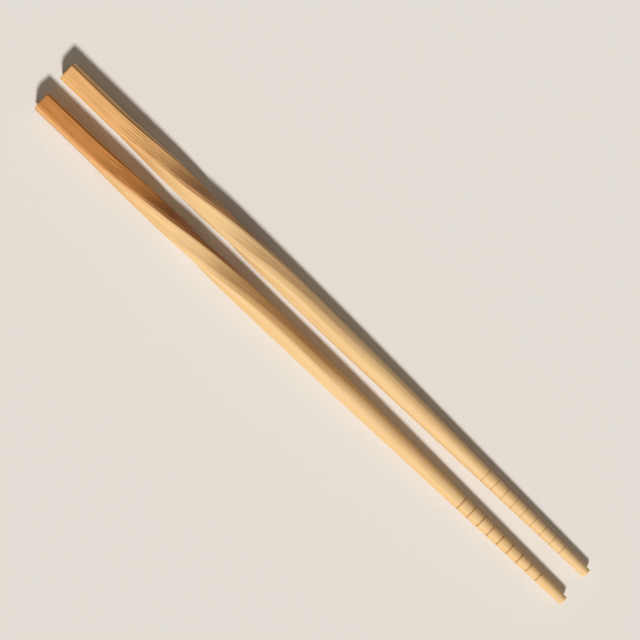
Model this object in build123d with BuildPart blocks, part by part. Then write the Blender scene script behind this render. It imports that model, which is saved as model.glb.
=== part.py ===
# A pair of wooden chopsticks lying side by side, butts at -X and tips at +X.
# Each stick is one piece: a round tapered rod with four flats milled into the handle.
# The flats are straight at the butt, then twist about the rod and run out shallower
# until the rod is fully round; fine grooves ring the last stretch before the tip.
import os
from math import acos, atan, cos, degrees, radians, sin

from build123d import *

# sizes of one stick, in millimetres and degrees; stations are measured from the butt
length = 240.0
butt_radius = 4.15          # rod radius over the corners of the handle
tip_radius = 1.63
taper_start = 75.0          # where the rod begins to slim
round_from = 155.0          # where the flats have run out and the taper is straight
flat_depth = 0.65           # how deep each flat is cut into the rod at the handle
flats_fade_from = 40.0      # where the flats begin to run out
twist_from = 17.0
twist_to = 113.0
twist_angle = 135.0         # how far the flats turn in all
butt_edge = 0.25            # rounding of the butt's rim
tip_edge = 0.35             # rounding of the tip's rim
groove_count = 9
groove_pitch = 4.42
groove_width = 0.5
groove_depth = 0.22
last_groove_to_tip = 11.8
section_step = 4.0          # spacing of the sections the twist is drawn through
least_half_flat = 4.0       # narrowest flat drawn, as half its angle

# how the pair lies
butt_spacing = 13.15        # centre to centre at the butts
tip_spacing = 11.85
upper_roll = 3.2            # turn of each stick about its own axis
lower_roll = -7.6
lower_lead = 0.75           # how far the lower stick lies ahead of the upper


def ease(station, start, end):
    """Rises smoothly from 0 at start to 1 at end."""
    x = min(max((station - start) / (end - start), 0.0), 1.0)
    return x * x * (3 - 2 * x)


def rod_radius(station):
    """Radius of the round rod: level, then curving into a straight taper."""
    blend = round_from - taper_start
    slope = (butt_radius - tip_radius) / (length - taper_start - blend / 2)
    past = max(station - taper_start, 0.0)
    if past < blend:
        return butt_radius - slope * past**2 / (2 * blend)
    return butt_radius - slope * (past - blend / 2)


def draw_section(station):
    """Outline across the stick: four flats joined by arcs of the rod."""
    radius = rod_radius(station)
    depth = flat_depth * (1 - ease(station, flats_fade_from, round_from))
    half = max(acos(1 - depth / radius), radians(least_half_flat))
    turn = -radians(twist_angle * ease(station, twist_from, twist_to))

    def point(angle):
        return (radius * cos(turn + angle), radius * sin(turn + angle))

    quarter = radians(90)
    for middle in (0, quarter, 2 * quarter, 3 * quarter):
        Line(point(middle - half), point(middle + half))
        ThreePointArc(point(middle + half), point(middle + quarter / 2), point(middle + quarter - half))


def across(station):
    """Plane square to the stick, its own x along world Y and its own y along world Z."""
    return Plane(origin=(station, 0, 0), x_dir=(0, 1, 0), z_dir=(1, 0, 0))


section_count = round((length - twist_from) / section_step)
stations = [twist_from + (length - twist_from) * i / section_count for i in range(section_count + 1)]
first_groove = length - last_groove_to_tip - (groove_count - 1) * groove_pitch

# the one stick both are copies of, with its axis on X and its butt at the origin
with BuildPart() as stick:
    with BuildSketch(across(0)):
        with BuildLine():
            draw_section(0)
        make_face()
    extrude(amount=twist_from)
    fillet(stick.faces().sort_by(Axis.X)[0].edges(), butt_edge)

    for station in stations:
        with BuildSketch(across(station)):
            with BuildLine():
                draw_section(station)
            make_face()
    loft()
    fillet(stick.faces().sort_by(Axis.X)[-1].edges(), tip_edge)

    with BuildSketch(Plane.XZ):
        for i in range(groove_count):
            groove = first_groove + i * groove_pitch
            radius = rod_radius(groove)
            with BuildLine():
                Polyline(
                    (groove - groove_width, radius + groove_depth),
                    (groove, radius - groove_depth),
                    (groove + groove_width, radius + groove_depth),
                    close=True,
                )
            make_face()
    revolve(axis=Axis.X, mode=Mode.SUBTRACT)

# each stick tips until its underside is level below its balance point
balance = stick.part.center().X
rest_pitch = degrees(atan((rod_radius(balance - 1) - rod_radius(balance + 1)) / 2))

# lay each copy on the floor, then centre the pair over the origin
splay = degrees(atan((butt_spacing - tip_spacing) / 2 / length))
leans = [
    Pos(0, butt_spacing / 2, 0) * Rot(0, 0, -splay) * Rot(0, rest_pitch, 0) * Rot(upper_roll, 0, 0),
    Pos(lower_lead, -butt_spacing / 2, 0) * Rot(0, 0, splay) * Rot(0, rest_pitch, 0) * Rot(lower_roll, 0, 0),
]
boxes = [(lean * stick.part).bounding_box() for lean in leans]
middle_x = (min(box.min.X for box in boxes) + max(box.max.X for box in boxes)) / 2
middle_y = (min(box.min.Y for box in boxes) + max(box.max.Y for box in boxes)) / 2
places = [Pos(-middle_x, -middle_y, -box.min.Z) * lean for lean, box in zip(leans, boxes)]

with BuildPart() as upper_chopstick:
    with Locations(places[0]):
        add(stick.part)

with BuildPart() as lower_chopstick:
    with Locations(places[1]):
        add(stick.part)

os.makedirs("parts", exist_ok=True)
upper_chopstick.part.label = "upper_chopstick"
export_step(upper_chopstick.part, "parts/upper_chopstick.step")
lower_chopstick.part.label = "lower_chopstick"
export_step(lower_chopstick.part, "parts/lower_chopstick.step")
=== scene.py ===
import math

import bmesh
import bpy
from mathutils import Matrix, Vector


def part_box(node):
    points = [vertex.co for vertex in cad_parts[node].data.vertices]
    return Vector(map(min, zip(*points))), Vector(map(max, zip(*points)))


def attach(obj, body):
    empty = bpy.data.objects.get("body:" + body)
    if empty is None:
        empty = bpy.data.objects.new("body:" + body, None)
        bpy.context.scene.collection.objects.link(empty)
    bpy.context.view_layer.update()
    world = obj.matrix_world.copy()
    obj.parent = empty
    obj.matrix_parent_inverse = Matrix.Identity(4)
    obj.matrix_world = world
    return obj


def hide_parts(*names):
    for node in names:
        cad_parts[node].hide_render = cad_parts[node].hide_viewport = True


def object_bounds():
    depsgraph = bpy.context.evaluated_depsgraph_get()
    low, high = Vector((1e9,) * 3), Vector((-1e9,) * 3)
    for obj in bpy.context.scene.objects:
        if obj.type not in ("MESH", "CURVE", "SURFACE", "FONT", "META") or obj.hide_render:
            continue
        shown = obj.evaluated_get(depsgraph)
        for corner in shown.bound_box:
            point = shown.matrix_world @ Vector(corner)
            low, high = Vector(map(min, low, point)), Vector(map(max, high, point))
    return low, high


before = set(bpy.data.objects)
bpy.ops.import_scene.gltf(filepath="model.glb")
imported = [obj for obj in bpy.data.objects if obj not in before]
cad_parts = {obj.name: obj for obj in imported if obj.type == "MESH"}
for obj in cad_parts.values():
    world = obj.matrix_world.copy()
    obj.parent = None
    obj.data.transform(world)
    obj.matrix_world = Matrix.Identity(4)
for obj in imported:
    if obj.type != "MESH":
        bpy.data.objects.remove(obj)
cadLow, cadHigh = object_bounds()
print("frame loaded:", sorted(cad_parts))

mm = 0.001

stickShape = {  # one stick, in millimetres from its butt, and degrees
    "length": 240.0,
    "buttRadius": 4.15,
    "tipRadius": 1.63,
    "taperStart": 75.0,
    "roundFrom": 155.0,
    "flatDepth": 0.65,
    "flatsFadeFrom": 40.0,
    "twistFrom": 17.0,
    "twistTo": 113.0,
    "twistAngle": 135.0,
    "buttEdge": 0.25,
    "tipEdge": 0.35,
    "restLean": 0.33,  # how far each stick tips down towards its tip
    "edgeWear": 0.06,  # how far the sharp edges of the flats are rubbed round
    "grooveCount": 9,
    "groovePitch": 4.42,
    "grooveWidth": 0.5,
    "grooveDepth": 0.22,
    "lastGrooveToTip": 11.8,
    "grooveRings": (  # offset in half widths, share of the depth, share of painted groove shade
        (-2.2, 0, 0),
        (-1, 0, 0.5),
        (0, 1, 1),
        (1, 0, 0.6),
        (2, 0, 0),
    ),
    "grooveRoom": 2.6,  # half widths beside a groove that plain rings keep clear of
    "edgeRings": 4,  # steps round each end's rim
    "ringStep": 1.2,  # spacing of the mesh's rings
    "flatColumns": 10,
    "arcColumns": 6,
    "weldDistance": 1e-4,
}

upperStick = {
    "node": "upper_chopstick",
    "slot": "upper_wood",
    "roll": 3.2,
    "splay": -0.155,
    "grainShift": (11.0, 3.0, 7.0),
    "shankTone": (0.82, 0.54, 0.25),
    "handleTone": (0.80, 0.44, 0.155),
    # the top flat's own browner tone, with painted shade and warm bounced light mixed into it
    "topFlatToneAndShade": (0.88, 0.48, 0.18),
    # painted shade, with some of the flat's own brown: the top flat once it has turned away from the light
    "turnedFlatToneAndShade": (0.56, 0.28, 0.105),
    "lineStrength": 0.8,
    # share of painted shade in and beside the grooves
    "grooveShade": 0.3,
    # share of painted shade on the flat that has turned away from the light
    "farFlatShade": 0.25,
}

lowerStick = {
    "node": "lower_chopstick",
    "slot": "lower_wood",
    "roll": -7.6,
    "splay": 0.155,
    "grainShift": (57.0, 21.0, 2.0),
    "shankTone": (0.80, 0.52, 0.235),
    "handleTone": (0.75, 0.40, 0.15),
    # the top flat's own browner tone, with painted shade and warm bounced light mixed into it, more here
    # than on the upper stick
    "topFlatToneAndShade": (0.68, 0.26, 0.055),
    # painted shade, with some of the flat's own brown: the top flat once it has turned away from the light
    "turnedFlatToneAndShade": (0.42, 0.17, 0.05),
    "lineStrength": 0.95,
    # share of painted shade in and beside the grooves
    "grooveShade": 0.75,
    # share of painted shade on the flat that has turned away from the light
    "farFlatShade": 0.6,
}


def ease(value, start, end):
    x = min(max((value - start) / (end - start), 0.0), 1.0)
    return x * x * (3 - 2 * x)


def rodRadius(station):
    shape = stickShape
    blend = shape["roundFrom"] - shape["taperStart"]
    slope = (shape["buttRadius"] - shape["tipRadius"]) / (shape["length"] - shape["taperStart"] - blend / 2)
    past = max(station - shape["taperStart"], 0.0)
    if past < blend:
        return shape["buttRadius"] - slope * past**2 / (2 * blend)
    return shape["buttRadius"] - slope * (past - blend / 2)


def sectionAngles(station):  # the columns' angles round the stick, crowded at the edges of the flats
    shape = stickShape
    radius = rodRadius(station)
    depth = shape["flatDepth"] * (1 - ease(station, shape["flatsFadeFrom"], shape["roundFrom"]))
    wear = shape["edgeWear"] / radius
    half = max(math.acos(1 - depth / radius), 2.5 * wear)
    quarter = math.pi / 2
    angles = []
    for side in range(4):
        middle = side * quarter
        for i in range(shape["flatColumns"] + 1):
            angles.append(middle + (half - wear) * (2 * i / shape["flatColumns"] - 1))
        arcFrom = middle + half + wear
        arcTo = middle + quarter - half - wear
        for i in range(shape["arcColumns"] + 1):
            angles.append(arcFrom + (arcTo - arcFrom) * i / shape["arcColumns"])
    angles.append(angles[0] + 4 * quarter)
    return angles


def surfaceRadius(station, angle):  # distance from the axis, on a flat or on the round between two
    shape = stickShape
    radius = rodRadius(station)
    depth = shape["flatDepth"] * (1 - ease(station, shape["flatsFadeFrom"], shape["roundFrom"]))
    quarter = math.pi / 2
    fromFlat = (angle + quarter / 2) % quarter - quarter / 2
    return min(radius, (radius - depth) / math.cos(fromFlat))


def clearOfEnds(station):
    return 2 * stickShape["tipEdge"] < station < stickShape["length"] - 2 * stickShape["tipEdge"]


def ringList():  # (station, how far the surface is pared in, painted groove shade) for every ring of the mesh
    shape = stickShape
    rings = []
    for end, edge, way in ((0.0, shape["buttEdge"], 1), (shape["length"], shape["tipEdge"], -1)):
        for i in range(shape["edgeRings"] + 1):
            turn = math.radians(90 * i / shape["edgeRings"])
            rings.append((end + way * edge * (1 - math.sin(turn)), edge * (1 - math.cos(turn)), 0.0))
    groovedLength = (shape["grooveCount"] - 1) * shape["groovePitch"]
    firstGroove = shape["length"] - shape["lastGrooveToTip"] - groovedLength
    grooves = [firstGroove + i * shape["groovePitch"] for i in range(shape["grooveCount"])]
    half = shape["grooveWidth"] / 2
    for groove in grooves:
        for offset, cut, grooveShadeWeight in shape["grooveRings"]:
            rings.append((groove + offset * half, cut * shape["grooveDepth"], grooveShadeWeight))
    room = shape["grooveRoom"] * half
    count = round(shape["length"] / shape["ringStep"])
    for i in range(1, count):
        station = shape["length"] * i / count
        if clearOfEnds(station) and all(abs(station - groove) > room for groove in grooves):
            rings.append((station, 0.0, 0.0))
    return sorted(rings)


def buildStick(look):
    shape = stickShape
    rings = ringList()
    columns = len(sectionAngles(0)) - 1
    bm = bmesh.new()
    bmesh.ops.create_grid(bm, x_segments=len(rings) - 1, y_segments=columns, size=1.0)
    grainSpace = bm.verts.layers.float_vector.new("grainSpace")
    grooved = bm.verts.layers.float.new("grooved")
    for vert in bm.verts:
        station, pared, grooveShadeWeight = rings[round((vert.co.x + 1) / 2 * (len(rings) - 1))]
        angle = sectionAngles(station)[round((vert.co.y + 1) / 2 * columns)]
        radius = surfaceRadius(station, angle) - pared
        turn = -math.radians(shape["twistAngle"] * ease(station, shape["twistFrom"], shape["twistTo"]))
        vert[grainSpace] = (station, radius * math.cos(angle), radius * math.sin(angle))
        vert[grooved] = grooveShadeWeight
        vert.co = Vector((station, radius * math.cos(angle + turn), radius * math.sin(angle + turn)))
    bmesh.ops.remove_doubles(bm, verts=bm.verts, dist=shape["weldDistance"])
    rims = [edge for edge in bm.edges if edge.is_boundary]
    caps = bmesh.ops.holes_fill(bm, edges=rims, sides=0)["faces"]
    for face in bm.faces:
        face.smooth = True
    for face in caps:
        face.smooth = False
        face.material_index = 1
    for edge in rims:
        edge.smooth = False
    bmesh.ops.recalc_face_normals(bm, faces=bm.faces)

    stand = Matrix.Rotation(math.radians(look["splay"]), 4, "Z")
    stand = stand @ Matrix.Rotation(math.radians(shape["restLean"]), 4, "Y")
    stand = stand @ Matrix.Rotation(math.radians(look["roll"]), 4, "X")
    bmesh.ops.transform(bm, matrix=Matrix.Scale(mm, 4) @ stand, verts=bm.verts)

    nodeLow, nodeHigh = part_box(look["node"])
    meshLow = Vector(min(vert.co[axis] for vert in bm.verts) for axis in range(3))
    meshHigh = Vector(max(vert.co[axis] for vert in bm.verts) for axis in range(3))
    move = (nodeLow + nodeHigh - meshLow - meshHigh) / 2
    move.z = nodeLow.z - meshLow.z
    bmesh.ops.translate(bm, vec=move, verts=bm.verts)

    mesh = bpy.data.meshes.new(look["node"] + "_wood")
    bm.to_mesh(mesh)
    bm.free()
    piece = bpy.data.objects.new(look["node"] + "_wood", mesh)
    bpy.context.scene.collection.objects.link(piece)
    mesh.materials.append(sideGrainWood(look))
    mesh.materials.append(endGrainWood(look))
    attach(piece, "root")
    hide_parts(look["node"])
    print("built", piece.name, len(mesh.polygons), "faces")
    return piece


class Wire:  # one socket of a node tree, which Python's own sums can work on
    def __init__(self, tree, socket=None):
        self.tree = tree
        self.socket = socket

    def node(self, kind, settings={}, inputs={}, output=0):
        made = self.tree.nodes.new(kind)
        for name, value in settings.items():
            setattr(made, name, value)
        for name, value in inputs.items():
            if isinstance(value, Wire):
                self.tree.links.new(value.socket, made.inputs[name])
            else:
                made.inputs[name].default_value = value
        return Wire(self.tree, made.outputs[output])

    def math(self, operation, *values):
        return self.node("ShaderNodeMath", {"operation": operation}, dict(enumerate(values)))

    def __add__(self, other):
        return self.math("ADD", self, other)

    def __radd__(self, other):
        return self.math("ADD", other, self)

    def __sub__(self, other):
        return self.math("SUBTRACT", self, other)

    def __rsub__(self, other):
        return self.math("SUBTRACT", other, self)

    def __mul__(self, other):
        return self.math("MULTIPLY", self, other)

    def __rmul__(self, other):
        return self.math("MULTIPLY", other, self)

    def __abs__(self):
        return self.math("ABSOLUTE", self)

    def rise(self, low, high):  # 0 below low, 1 above high, smooth between
        ends = {"Value": self, "From Min": low, "From Max": high}
        return self.node("ShaderNodeMapRange", {"interpolation_type": "SMOOTHSTEP"}, ends)

    def sine(self):
        return self.math("SINE", self)

    def orMore(self, other):
        return self.math("MAXIMUM", self, other)

    def between(self, low, high):  # this mask as a mix of two colours
        ends = {0: self, 6: (*low, 1), 7: (*high, 1)}
        return self.node("ShaderNodeMix", {"data_type": "RGBA"}, ends, 2)

    def toward(self, tone, factor):  # this colour mixed with another
        ends = {0: factor, 6: self, 7: (*tone, 1)}
        return self.node("ShaderNodeMix", {"data_type": "RGBA"}, ends, 2)

    def stretched(self, scale, shift=(0, 0, 0)):
        scaled = self.node("ShaderNodeVectorMath", {"operation": "MULTIPLY"}, {0: self, 1: scale})
        return self.node("ShaderNodeVectorMath", {"operation": "ADD"}, {0: scaled, 1: shift})

    def noise(self, detail=3.0, roughness=0.55):
        sockets = {"Vector": self, "Scale": 1.0, "Detail": detail, "Roughness": roughness}
        return self.node("ShaderNodeTexNoise", {}, sockets)


def newMaterial(name):
    material = bpy.data.materials.new(name)
    material.use_nodes = True
    return material, material.node_tree.nodes["Principled BSDF"]


wood = {  # what both sticks share; fades run from one distance to another, in millimetres
    "handleFade": (18.0, 66.0),
    "topFlatEdge": (-0.1, 0.3),  # across the round beside the flat
    "topFlatFade": (80.0, 106.0),
    "topFlatShadeCreepFrom": (46.0, 60.0),  # past here painted shade in the flat's dark tone creeps over the round beside it
    "topFlatShadeCreep": 0.75,
    "topFlatShare": 0.85,
    # where painted shade on the turned top flat begins
    "turnedFrom": (40.0, 58.0),
    # painted shade on the far flat, which faces away from the light past the twist
    "farFlatShadeCreep": 0.9,
    "farFlatEdge": (-0.1, 0.4),
    "farFlatFrom": (72.0, 92.0),
    "farFlatFade": (120.0, 150.0),
    "lineTurns": 9.6,  # radians of the line pattern for each millimetre across a flat
    "lineWander": 9.0,
    "topLineWidth": (0.3, 0.8),
    "topLineGaps": (0.32, 0.46),
    "topLineFrom": (22.0, 32.0),
    "buttLineShare": 0.4,
    "farLineWidth": (0.5, 0.9),
    "farLineGaps": (0.4, 0.55),
    "farLineFrom": (74.0, 82.0),
    "farLineFade": (88.0, 104.0),
    "farLineShare": 0.6,
    "fibreLineWidth": (0.0, 0.022),
    "fibreLineFade": (50.0, 80.0),
    "fibreLineShare": 0.6,
    "cornerHeight": (1.8, 2.2),  # the handle's upper corner, above the axis
    "cornerFade": (30.0, 52.0),
    # a painted shade line and a strip of painted reflected light on the shaded corner
    "cornerShadeFrom": (2.2, 2.45),  # sideways from the axis
    "cornerShadeTo": (2.85, 3.05),
    "reflectionStripFrom": (2.95, 3.15),
    # colour of the painted shade on the far flat
    "farFlatShadeTone": (0.54, 0.27, 0.085),
    "fibreTone": (0.36, 0.17, 0.055),
    "fibreSpread": (0.5, 0.85),
    "fibreShare": 0.4,
    "paleTone": (0.88, 0.66, 0.38),
    "paleSpread": (0.45, 0.75),
    "paleShare": 0.35,
    # painted reflected light and painted shade on the handle's shaded corner
    "reflectionStripTone": (0.80, 0.48, 0.20),
    "reflectionStripShare": 0.6,
    "cornerShadeTone": (0.27, 0.11, 0.03),
    "cornerShadeShare": 0.7,
    "lineTone": (0.17, 0.065, 0.018),
    # colour of the painted shade in and beside the grooves
    "grooveShadeTone": (0.42, 0.17, 0.045),
    "bundleTone": (0.25, 0.11, 0.04),  # the fibre bundles that show as dots on the cut ends
    "bundleStretch": (0.0, 2.2, 2.2),
    "bundleSize": (0.15, 0.4),
    "roughness": 0.46,
    "roughnessSpread": 0.18,
    "endRoughness": 0.75,
    "specular": 0.35,
    "bumpStrength": 0.35,
    "bumpHeight": 0.00008,
    "fibreRelief": 0.6,
    "lineRelief": 0.8,
}


def sideGrainWood(look):  # bamboo along the grain: straw, browner at the handle, with fine dark lines
    material, shader = newMaterial(look["node"] + "_side_grain")
    tree = material.node_tree
    space = Wire(tree).node("ShaderNodeAttribute", {"attribute_name": "grainSpace"}, output=1)
    along, side, up = (space.node("ShaderNodeSeparateXYZ", {}, {0: space}, axis) for axis in range(3))
    grooved = Wire(tree).node("ShaderNodeAttribute", {"attribute_name": "grooved"}, output=2)

    fibre = space.stretched((0.035, 2.6, 2.6), look["grainShift"]).noise(4.0, 0.65)
    slow = space.stretched((0.02, 0.4, 0.4), look["grainShift"]).noise(2.0)
    lineField = space.stretched((0.012, 1.1, 1.1), look["grainShift"]).noise(2.0)
    wobble = space.stretched((0.05, 0.5, 0.5), look["grainShift"]).noise(2.0)
    gaps = space.stretched((0.06, 1.4, 1.4), look["grainShift"]).noise(1.0)

    handle = 1 - along.rise(*wood["handleFade"])
    # painted shade: past the twist the top flat's dark tone is carried over the round beside it, beyond the
    # shape's own edge
    shadeCreep = along.rise(*wood["topFlatShadeCreepFrom"]) * wood["topFlatShadeCreep"]
    topFlat = (up - abs(side) + shadeCreep).rise(*wood["topFlatEdge"]) * (1 - along.rise(*wood["topFlatFade"]))
    farSide = (side * -1 - abs(up)).rise(*wood["topFlatEdge"])
    # painted shade: a darker brown band on the flat that faces away from the light past the twist, and over
    # the round beside it
    farFlatShadeMask = (side * -1 - abs(up) + wood["farFlatShadeCreep"]).rise(*wood["farFlatEdge"])
    farFlatShadeMask = farFlatShadeMask * along.rise(*wood["farFlatFrom"]) * (1 - along.rise(*wood["farFlatFade"]))

    # fine lines left by the cutter on the two flats, and some that follow the fibres
    topRidges = (side * wood["lineTurns"] + wobble * wood["lineWander"]).sine()
    topLines = topRidges.rise(*wood["topLineWidth"]) * gaps.rise(*wood["topLineGaps"]) * topFlat
    pastButt = along.rise(*wood["topLineFrom"]) * (1 - wood["buttLineShare"])
    topLines = topLines * (wood["buttLineShare"] + pastButt)
    farRidges = (up * wood["lineTurns"] + wobble * wood["lineWander"]).sine()
    farLines = farRidges.rise(*wood["farLineWidth"]) * gaps.rise(*wood["farLineGaps"]) * farSide
    farLines = farLines * along.rise(*wood["farLineFrom"]) * (1 - along.rise(*wood["farLineFade"]))
    fibreLines = 1 - abs(lineField - 0.5).rise(*wood["fibreLineWidth"])
    fibreLines = fibreLines * (1 - along.rise(*wood["fibreLineFade"])) * wood["fibreLineShare"]
    lines = topLines.orMore(fibreLines).orMore(farLines * wood["farLineShare"])

    # the handle's upper corner on its shaded side: a painted shade line beside the flat, and outside it a
    # lighter strip of painted reflected light
    corner = (1 - along.rise(*wood["cornerFade"])) * up.rise(*wood["cornerHeight"])
    cornerShadeLine = side.rise(*wood["cornerShadeFrom"]) * (1 - side.rise(*wood["cornerShadeTo"])) * corner
    reflectionStrip = side.rise(*wood["reflectionStripFrom"]) * corner

    pale = slow.rise(*wood["paleSpread"]) * wood["paleShare"] * (1 - topFlat)
    tone = handle.between(look["shankTone"], look["handleTone"])
    # the top flat: its own browner tone, partly painted shade and warm bounced light
    tone = tone.toward(look["topFlatToneAndShade"], topFlat * wood["topFlatShare"])
    # painted shade on the top flat where it has turned away from the light, partly its own brown
    tone = tone.toward(look["turnedFlatToneAndShade"], topFlat * along.rise(*wood["turnedFrom"]))
    # painted shade on the far flat
    tone = tone.toward(wood["farFlatShadeTone"], farFlatShadeMask * look["farFlatShade"])
    tone = tone.toward(wood["fibreTone"], fibre.rise(*wood["fibreSpread"]) * wood["fibreShare"])
    tone = tone.toward(wood["paleTone"], pale)
    # painted reflected light, then a painted shade line, on the handle's shaded corner
    tone = tone.toward(wood["reflectionStripTone"], reflectionStrip * wood["reflectionStripShare"])
    tone = tone.toward(wood["cornerShadeTone"], cornerShadeLine * wood["cornerShadeShare"])
    tone = tone.toward(wood["lineTone"], lines * look["lineStrength"])
    # painted shade in and beside the grooves
    tone = tone.toward(wood["grooveShadeTone"], grooved * look["grooveShade"])
    tree.links.new(tone.socket, shader.inputs["Base Color"])

    rough = wood["roughness"] + fibre * wood["roughnessSpread"]
    tree.links.new(rough.socket, shader.inputs["Roughness"])
    relief = {"Strength": wood["bumpStrength"], "Distance": wood["bumpHeight"]}
    relief["Height"] = fibre * wood["fibreRelief"] - lines * wood["lineRelief"]
    bump = Wire(tree).node("ShaderNodeBump", {}, relief)
    tree.links.new(bump.socket, shader.inputs["Normal"])
    shader.inputs["Specular IOR Level"].default_value = wood["specular"]
    return material


def endGrainWood(look):  # the cut ends: dark fibre bundles as dots in paler wood
    material, shader = newMaterial(look["node"] + "_end_grain")
    tree = material.node_tree
    space = Wire(tree).node("ShaderNodeAttribute", {"attribute_name": "grainSpace"}, output=1)
    sockets = {"Vector": space.stretched(wood["bundleStretch"]), "Scale": 1.0}
    spots = space.node("ShaderNodeTexVoronoi", {}, sockets)
    tone = (1 - spots.rise(*wood["bundleSize"])).between(look["handleTone"], wood["bundleTone"])
    tree.links.new(tone.socket, shader.inputs["Base Color"])
    shader.inputs["Roughness"].default_value = wood["endRoughness"]
    return material


floorLook = {
    "halfWidth": 3.0,
    "tone": (0.78, 0.75, 0.70),
    "roughness": 0.9,
    "specular": 0.1,
}


def makeFloor():
    bm = bmesh.new()
    bmesh.ops.create_grid(bm, x_segments=1, y_segments=1, size=floorLook["halfWidth"])
    mesh = bpy.data.meshes.new("floor")
    bm.to_mesh(mesh)
    bm.free()
    floor = bpy.data.objects.new("floor", mesh)
    bpy.context.scene.collection.objects.link(floor)
    material, shader = newMaterial("pale_floor")
    shader.inputs["Base Color"].default_value = (*floorLook["tone"], 1)
    shader.inputs["Roughness"].default_value = floorLook["roughness"]
    shader.inputs["Specular IOR Level"].default_value = floorLook["specular"]
    mesh.materials.append(material)


view = {
    "turn": 43.95,  # how far the sticks run down to the right, in degrees
    "across": 0.2125,  # width of the view at the sticks
    "right": 0.0016,  # how far the view's middle lies from the pair's middle
    "up": 0.0056,
    "height": 1.1,
    "sensor": 36.0,
}


def makeCamera():
    middle = (cadLow + cadHigh) / 2
    turned = Matrix.Rotation(math.radians(view["turn"]), 4, "Z")
    aim = middle + turned @ Vector((view["right"], view["up"], 0))
    cameraData = bpy.data.cameras.new("camera")
    cameraData.sensor_width = view["sensor"]
    cameraData.lens = cameraData.sensor_width * view["height"] / view["across"]
    camera = bpy.data.objects.new("camera", cameraData)
    camera.matrix_world = Matrix.Translation((aim.x, aim.y, middle.z + view["height"])) @ turned
    bpy.context.scene.collection.objects.link(camera)
    bpy.context.scene.camera = camera


light = {
    "keyStrength": 3.35,
    "keyDrop": 47.0,  # height of the key light above the horizon, in degrees
    "keySoftness": 9.0,
    "skyStrength": 0.2,
    "skyTone": (1.0, 0.91, 0.8),
}


def makeLights():
    turned = Matrix.Rotation(math.radians(view["turn"]), 4, "Z")
    keyData = bpy.data.lights.new("key", "SUN")
    keyData.energy = light["keyStrength"]
    keyData.angle = math.radians(light["keySoftness"])
    key = bpy.data.objects.new("key", keyData)
    tilt = Matrix.Rotation(math.radians(90 - light["keyDrop"]), 4, "X")  # it shines up the view from below
    key.matrix_world = turned @ tilt
    bpy.context.scene.collection.objects.link(key)
    world = bpy.data.worlds.new("studio")
    world.use_nodes = True
    sky = world.node_tree.nodes["Background"]
    sky.inputs["Color"].default_value = (*light["skyTone"], 1)
    sky.inputs["Strength"].default_value = light["skyStrength"]
    bpy.context.scene.world = world


makeCamera()
makeLights()
makeFloor()
print("camera, lights and floor are in")
for look in (upperStick, lowerStick):
    buildStick(look)
bpy.context.scene.view_settings.view_transform = "Standard"
